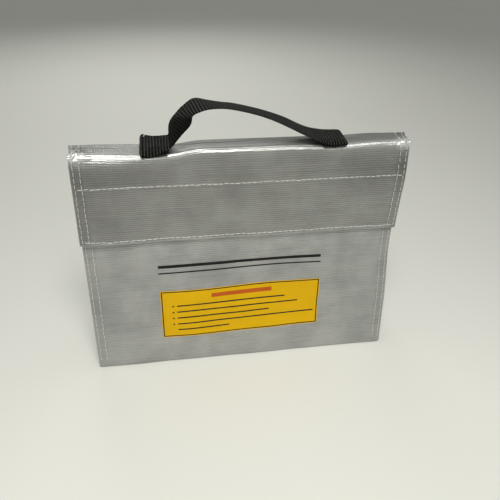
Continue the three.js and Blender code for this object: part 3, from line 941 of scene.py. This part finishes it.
patch("print_panel", YELLOW, -67, 62, 110.4, 154, ON_CLOTH)
RIM = 0.85
X0, X1, U0, U1 = -66.3, 61.3, 111.1, 153.3
patch("print_rim_top", DARK, X0, X1, U0, U0 + RIM, ON_PANEL)
patch("print_rim_bottom", DARK, X0, X1, U1 - RIM, U1, ON_PANEL)
patch("print_rim_left", DARK, X0, X0 + RIM, U0 + RIM, U1 - RIM, ON_PANEL)
patch("print_rim_right", DARK, X1 - RIM, X1, U0 + RIM, U1 - RIM, ON_PANEL)
patch("print_heading_bar", RED, -27, 22, 115.2, 118.9, ON_PANEL)
LINE_X, LINE_ENDS, DOTS = -57, (33, 44, 20, 58, -13), 4
for i, line_end in enumerate(LINE_ENDS):
    u = 123.8 + i * 5.6
    patch(f"print_line_{i}", DARK, LINE_X + 2.5, line_end, u, u + 1.15, ON_PANEL)
    if i < DOTS:
        patch(f"print_dot_{i}", DARK, LINE_X - 1.2, LINE_X + 0.2, u, u + 1.3, ON_PANEL)
patch("print_rule_upper", DARK, -67, 61, 88.2, 90.6, ON_CLOTH)
patch("print_rule_lower", DARK, -67, 61, 94.2, 95.3, ON_CLOTH)


# -------------------- carry handle
# stations along the webbing: front edge x, z and rear edge x, z over the lid, bow of the middle, shift in y,
# and how far the front edge droops over the lid's fold
EDGE = np.array([
    (-54.5, 0.8, -54.5, 0.8, 0, 0, 0.6), (-60, 0.8, -60, 0.8, 0, 0, 2.2), (-66, 0.8, -66, 0.9, 0, 0, 3.4),
    (-70.6, 0.75, -70.6, 1.2, 0, 0, 3.4), (-72.0, 0.95, -71.9, 2.2, 0, -0.3, 3.2),
    (-72.5, 1.45, -72.5, 3.9, 0, -0.6, 3.0), (-71.7, 2.1, -71.7, 5.3, 0, -0.8, 3.0),
    (-69.4, 2.3, -69.3, 4.8, -0.2, -0.8, 3.6), (-65.3, 2.3, -65.5, 3.9, -0.3, -0.6, 4.1),
    (-61, 2.45, -61.5, 3.6, -0.3, -0.3, 2.9), (-57, 2.7, -57.0, 3.7, -0.2, 0, 1.4),
    (-53.9, 3.2, -53.7, 4.0, 0, 0, 0.5), (-51.4, 4.7, -52.5, 5.6, 0.1, 0, 0),
    (-48.6, 8.1, -52.3, 8.6, 0.9, 0, 0), (-45.6, 11.7, -52.0, 11.4, 1.7, 0, 0),
    (-42.6, 15.0, -51.2, 14.3, 2.2, 0, 0), (-39.8, 17.9, -49.5, 17.0, 2.3, 0, 0),
    (-37.9, 20.8, -47.0, 19.9, 1.7, 0, 0), (-37.3, 23.6, -44.2, 22.9, 0.7, 0, 0),
    (-36.9, 25.4, -41.3, 25.4, 0.4, 0, 0), (-34.8, 27.1, -38.2, 27.9, 0.3, 0, 0),
    (-31.6, 28.4, -34.8, 29.8, 0.1, 0, 0), (-27.6, 29.6, -31.0, 29.9, 0, 0, 0),
    (-22.2, 30.2, -25.5, 28.6, 0, 0, 0), (-15, 30.2, -16.5, 26.9, 0, 0, 0), (-7, 28.9, -8, 25.9, 0, 0, 0),
    (2.5, 26.6, 2, 23.7, 0, 0, 0), (12, 23.6, 12, 21.1, 0, 0, 0), (21, 19.9, 21, 18.3, 0, 0, 0),
    (30, 15.5, 30, 15.0, 0, 0, 0), (38, 11.4, 38, 11.2, 0, 0, 0), (45, 7.7, 45.5, 7.4, 0, 0, 0),
    (50.5, 4.9, 51.0, 5.2, 0, 0, 0.4), (55.5, 3.2, 56.0, 4.0, 0, 0, 1.0), (60, 2.5, 60.5, 3.3, 0, 0, 1.6),
    (65.5, 2.3, 66, 3.0, 0, 0, 1.6), (70.0, 2.2, 70.6, 3.0, 0, -0.3, 0.8), (72.2, 1.8, 73.0, 2.7, 0, -0.3, 0.4),
    (72.9, 1.3, 73.6, 1.9, 0, -0.2, 0.3), (72.2, 0.85, 72.6, 1.3, 0, 0, 0.3), (70, 0.75, 70.4, 0.95, 0, 0, 0.6),
    (64, 0.8, 64, 0.8, 0, 0, 1.4), (55.5, 0.8, 55.5, 0.8, 0, 0, 0.8),
], float)
WEB_HALF, WEB_T, RIB_PITCH = 12.5, 1.5, 2.1
STATION = 0.3625  # from one row of the webbing's mesh to the next
COLUMNS = 15
MIDDLE = COLUMNS // 2


def catmull(table, t):
    """A smooth curve through the rows of a table."""
    i = np.clip(np.floor(t).astype(int), 0, len(table) - 2)
    f = (t - i)[:, None]
    p = [table[np.clip(i + k, 0, len(table) - 1)] for k in (-1, 0, 1, 2)]
    square, cube = 2 * p[0] - 5 * p[1] + 4 * p[2] - p[3], 3 * p[1] - p[0] - 3 * p[2] + p[3]
    return 0.5 * (2 * p[1] + (p[2] - p[0]) * f + square * f * f + cube * f ** 3)


def strap_lines():
    """Even stations along the strap: the two edges and the bow."""
    t = np.linspace(0, len(EDGE) - 1, 4001)
    q = catmull(EDGE, t)
    mid = np.c_[(q[:, 0] + q[:, 2]) / 2, (q[:, 1] + q[:, 3]) / 2]
    run = np.r_[0, np.cumsum(np.linalg.norm(np.diff(mid, axis=0), axis=1))]
    want = np.arange(0, run[-1], STATION)
    return want, np.stack([np.interp(want, run, q[:, i]) for i in range(7)], -1)


web_s, web_q = strap_lines()
front_x, front_z, rear_x, rear_z, bow, shift_y, edge_droop = web_q.T
roll = (rear_z - front_z) / (2 * WEB_HALF)
half_y = WEB_HALF * np.sqrt(np.clip(1 - roll ** 2, 0.5, 1))


def strap_mid(w):
    """Middle surface of the webbing at w from -1 (front edge) to 1 (rear edge)."""
    f = (1 + w) / 2
    x, z = front_x * (1 - f) + rear_x * f, front_z * (1 - f) + rear_z * f
    z = z + 1.1 * smooth(38, 56, x)
    droop = edge_droop * float(smooth(0.55, 1.0, -w))
    return np.stack([x, half_y * w + shift_y + 0.25 * droop, HEIGHT + z - droop], -1)


def strap_frame():
    ws = np.linspace(-1, 1, COLUMNS)
    grid = np.stack([strap_mid(w_) for w_ in ws], 1)
    du, dv = np.gradient(grid, axis=0), np.gradient(grid, axis=1)
    normal = np.cross(du, dv)
    normal /= np.linalg.norm(normal, axis=-1, keepdims=True)
    # the bow of the middle
    grid = grid + normal * (bow[:, None] * (1 - ws[None, :] ** 2))[..., None]
    return ws, grid, normal


ws, web_grid, web_normal = strap_frame()
rib = 0.5 + 0.5 * np.cos(web_s * 2 * math.pi / RIB_PITCH)
edge_round = np.sqrt(np.clip(1 - np.abs(ws) ** 10, 0.05, 1))
half_t = WEB_T / 2 * edge_round[None, :] * (0.84 + 0.2 * rib[:, None])
upper = web_grid + web_normal * half_t[..., None]
lower = web_grid - web_normal * half_t[..., None]
# ribs swell a little at both selvedges
for g in (upper, lower):
    g[:, 0, 1] -= 0.16 * rib
    g[:, -1, 1] += 0.16 * rib
# over the lid, the webbing sinks no deeper than the sagging cloth
lid_floor = HEIGHT + 0.05
for g, pad in ((lower, 0.0), (upper, 0.35)):
    inside = np.abs(g[..., 1]) < 9.0
    g[..., 2] = np.where(inside, np.maximum(g[..., 2], lid_floor + pad - 1.4), g[..., 2])
# painted shade darkens the steep, turned-under stretch above the left tab, up to a slanting crease line
along_w, across_w, mid_x, mid_z = (np.broadcast_to(v, half_t.shape) for v in (
    web_s[:, None], ws[None, :], ((front_x + rear_x) / 2)[:, None], ((front_z + rear_z) / 2)[:, None]))
below = smooth(-1.0, 1.0, 20.0 - 4.0 * across_w - mid_z)
web_painted_shade = 1 - 0.37 * below * smooth(3.5, 6.0, mid_z) * (mid_x < 0)
web_uv = np.stack([along_w, across_w * WEB_HALF], -1)
handle = sheet_object("handle_webbing", upper, lower, WEBBING, web_uv, tone=web_painted_shade, sharp=70)
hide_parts("handle_left_bend", "handle_grip", "handle_right_bend", "handle_left_tab", "handle_right_tab")
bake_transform(handle)


def strap_point(x, w, span):
    """Top of the webbing at a given x, on the upper run of one tab."""
    a, b = span
    k = np.arange(a, b)
    j = k[np.argmin(np.abs(web_grid[a:b, MIDDLE, 0] - x))]
    i = int(round((w + 1) / 2 * (COLUMNS - 1)))
    return upper[j, i], web_normal[j, i]


def tab_span(side):
    """Stations of the upper run of a tab."""
    x, count = web_grid[:, MIDDLE, 0], int(17 / STATION)
    if side == "left":
        start = int(np.argmin(x))
        return start, start + count
    stop = int(np.argmax(x))
    return stop - count, stop


BOX_INSET, BOX_W = 2.4, 0.78


def box_stitch(side, x0, x1):
    """A box with a cross in it, of black thread."""
    span = tab_span(side)
    x0, x1 = x0 + BOX_INSET, x1 - BOX_INSET
    a, b, c, d = (x0, -BOX_W), (x1, -BOX_W), (x1, BOX_W), (x0, BOX_W)
    centres, alongs, normals = [], [], []
    for (xa, wa), (xb, wb) in ((a, b), (b, c), (c, d), (d, a), (a, c), (d, b)):
        length = math.hypot(xb - xa, (wb - wa) * WEB_HALF)
        count = max(2, int(length / 2.9))
        for k in range(count):
            (p0, n0), (p1, _) = (strap_point(xa + (xb - xa) * f, wa + (wb - wa) * f, span)
                                 for f in ((k + 0.12) / count, (k + 0.88) / count))
            step = p1 - p0
            if np.linalg.norm(step) < 0.5:
                continue
            centres.append((p0 + p1) / 2)
            step /= np.linalg.norm(step)
            up = n0 if n0[2] > 0 else -n0
            up = up - step * float(up @ step)
            normals.append(up / np.linalg.norm(up))
            alongs.append(step)
    v, f = capsules(np.array(centres), np.array(alongs), np.array(normals), 2.3, 0.6, 0.3)
    obj = make(f"handle_{side}_stitches", v, f, BLACK_THREAD, sharp=80)
    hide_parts(f"handle_{side}_box_stitch")
    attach(obj, "lid")


box_stitch("left", -71.5, -55)
box_stitch("right", 56, 72.5)
# a loose pale thread end at the rear corner of the left tab
p0, n0 = strap_point(-70.4, 0.72, tab_span("left"))
n0 = n0 if n0[2] > 0 else -n0
v, f = capsules([p0 + n0 * 0.2], [np.array([0.8, 0.6, 0.0])], [n0], 1.7, 0.7, 0.4)
knot = make("handle_thread_end", v, f, WHITE_THREAD, sharp=80)
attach(knot, "lid")

# -------------------- floor, light and camera
pale = Nodes("pale_floor")
patches = pale.noise(pale.coords((1, 1, 1), False), 3.0, 2.0)
floor_colour = pale.ramp(patches, [(0.3, (0.80, 0.80, 0.745)), (0.7, (0.82, 0.82, 0.765))])
FLOOR = pale.surface(floor_colour, Roughness=0.75, Specular_IOR_Level=0.25)
SPOKES, RINGS = 64, (600.0, 2000.0, 9000.0)
angles = np.linspace(0, 2 * math.pi, SPOKES + 1)[:-1]
verts = np.vstack([np.zeros((1, 3))] + [np.c_[r * np.cos(angles), r * np.sin(angles), 0 * angles] for r in RINGS])
faces = [(0, 1 + k, 1 + (k + 1) % SPOKES) for k in range(SPOKES)]
for r in range(len(RINGS) - 1):
    for k in range(SPOKES):
        a, b = (1 + r * SPOKES + m for m in (k, (k + 1) % SPOKES))
        faces.append((a, a + SPOKES, b + SPOKES, b))
floor = make("floor", verts, faces, FLOOR)


def area(name, at, to, size, power, spread_, colour):
    """A rectangular light, in metres and watts, aimed at a point."""
    light = bpy.data.lights.new(name, "AREA")
    light.shape = "RECTANGLE"
    light.size, light.size_y = size
    light.energy = power
    light.spread = math.radians(spread_)
    light.color = colour
    obj = bpy.data.objects.new(name, light)
    obj.location = at
    obj.rotation_mode = "QUATERNION"
    obj.rotation_quaternion = (Vector(to) - Vector(at)).to_track_quat("-Z", "Y")
    bpy.context.scene.collection.objects.link(obj)


area("key", (-0.03, -0.56, 0.95), (0.0, -0.16, 0.0), (0.44, 0.38), 2.4, 95, (1.0, 0.995, 0.96))
area("rear_fill", (-0.12, 1.1, 0.85), (0.0, 0.6, 0.0), (0.6, 0.4), 1.5, 110, (1.0, 1.0, 0.98))
# a pale studio wall low down that fades into a darker ceiling
world = bpy.data.worlds.new("studio")
world.use_nodes = True
tree = world.node_tree
sky = next(n for n in tree.nodes if n.type == "BACKGROUND")
direction, split, wall = (tree.nodes.new("ShaderNode" + kind) for kind in ("TexCoord", "SeparateXYZ", "ValToRGB"))
tree.links.new(direction.outputs["Generated"], split.inputs[0])
tree.links.new(split.outputs["Z"], wall.inputs["Fac"])
tree.links.new(wall.outputs["Color"], sky.inputs["Color"])
wall.color_ramp.interpolation = "EASE"
low_end, high_end = wall.color_ramp.elements
low_end.position, low_end.color = 0.12, (0.40, 0.404, 0.386, 1)
high_end.position, high_end.color = 0.62, (0.245, 0.248, 0.237, 1)
sky.inputs["Strength"].default_value = 1.0
bpy.context.scene.world = world
bpy.context.scene.view_settings.view_transform = "Standard"

cam_data = bpy.data.cameras.new("camera")
cam_data.sensor_fit = "HORIZONTAL"
cam_data.sensor_width = 36.0
cam_data.lens = 38.31
cam_data.clip_start, cam_data.clip_end = 0.01, 60
cam = bpy.data.objects.new("camera", cam_data)
yaw, pitch, tilt = (math.radians(v) for v in (10.28, 33.04, 1.88))
fwd = Vector((math.sin(yaw) * math.cos(pitch), math.cos(yaw) * math.cos(pitch), -math.sin(pitch)))
right = Vector((math.cos(yaw), -math.sin(yaw), 0))
up = right.cross(fwd)
cx = right * math.cos(tilt) + up * math.sin(tilt)
cy = up * math.cos(tilt) - right * math.sin(tilt)
CAMERA_AT = (-0.0576, -0.3550, 0.3229)
cam.matrix_world = Matrix([(*axes, at) for *axes, at in zip(cx, cy, -fwd, CAMERA_AT)] + [(0, 0, 0, 1)])
bpy.context.scene.collection.objects.link(cam)
bpy.context.scene.camera = cam
